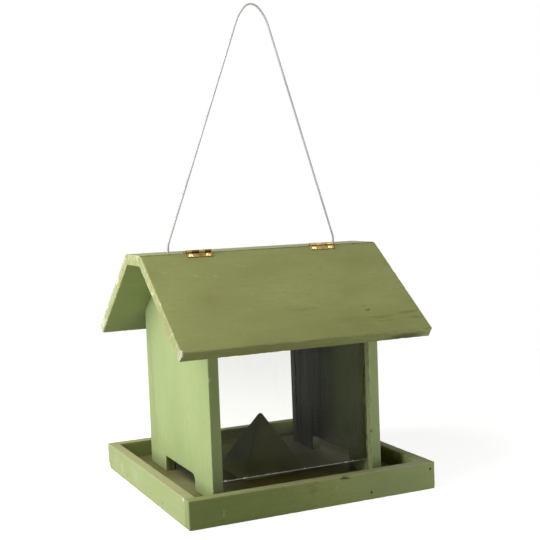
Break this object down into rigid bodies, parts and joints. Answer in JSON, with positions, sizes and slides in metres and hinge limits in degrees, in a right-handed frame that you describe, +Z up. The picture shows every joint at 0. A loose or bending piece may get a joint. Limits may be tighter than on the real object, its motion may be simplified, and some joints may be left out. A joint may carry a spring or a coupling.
{
  "type": "silo bird feeder",
  "caption": "Painted wooden hopper bird feeder: rimmed tray, house with clear windows and seed pyramid, hinged roof lid, wire hanger.",
  "frame": {"origin": "middle of the tray's underside", "axes": "+X to the right along the ridge, -Y to the front, where the lid is, +Z up to the hanger"},
  "size_m": [0.242, 0.2414, 0.456],
  "materials": {
    "painted_pine": "olive green matt paint on pine boards",
    "acrylic_sheet": "clear acrylic sheet, sawn edges",
    "hinge_brass": "aged brass, rubbed bright on the screws",
    "galvanised_wire": "dull galvanised wire",
    "nail_steel": "darkened wire nails",
    "screw_steel": "zinc plated countersunk screws"
  },
  "bodies": {
    "house": {"floor_board": "painted_pine", "rim_front": "painted_pine", "rim_rear": "painted_pine", "rim_left": "painted_pine", "rim_right": "painted_pine", "end_wall_left": "painted_pine", "end_wall_right": "painted_pine", "seed_deflector": "painted_pine", "ridge_board": "painted_pine", "roof_rear_board": "painted_pine", "ridge_leaf_left": "hinge_brass", "ridge_leaf_right": "hinge_brass", "hinge_pin_left": "hinge_brass", "hinge_pin_right": "hinge_brass", "ridge_leaf_screws": "hinge_brass", "roof_nails": "nail_steel", "rim_nails": "nail_steel", "wall_screws": "screw_steel", "deflector_screw": "screw_steel"},
    "lid": {"lid_board": "painted_pine", "lid_leaf_left": "hinge_brass", "lid_leaf_right": "hinge_brass", "lid_leaf_screws": "hinge_brass"},
    "front_pane": {"window_front": "acrylic_sheet"},
    "rear_pane": {"window_rear": "acrylic_sheet"},
    "hanger": {"hanger_wire": "galvanised_wire"}
  },
  "joints": [
    {"name": "lid_hinge", "type": "hinge", "parent": "house", "child": "lid", "pos_m": [0, -0.02242, 0.22525], "axis": [-1, 0, 0], "range_deg": [0, 130]},
    {"name": "front_window_lift", "type": "slide", "parent": "house", "child": "front_pane", "axis": [0, 0, 1], "range_m": [0, 0.01]},
    {"name": "rear_window_lift", "type": "slide", "parent": "house", "child": "rear_pane", "axis": [0, 0, 1], "range_m": [0, 0.01]},
    {"name": "hanger_rock", "type": "hinge", "parent": "house", "child": "hanger", "pos_m": [0, 0, 0.219], "axis": [1, 0, 0], "range_deg": [-5, 5]}
  ]
}
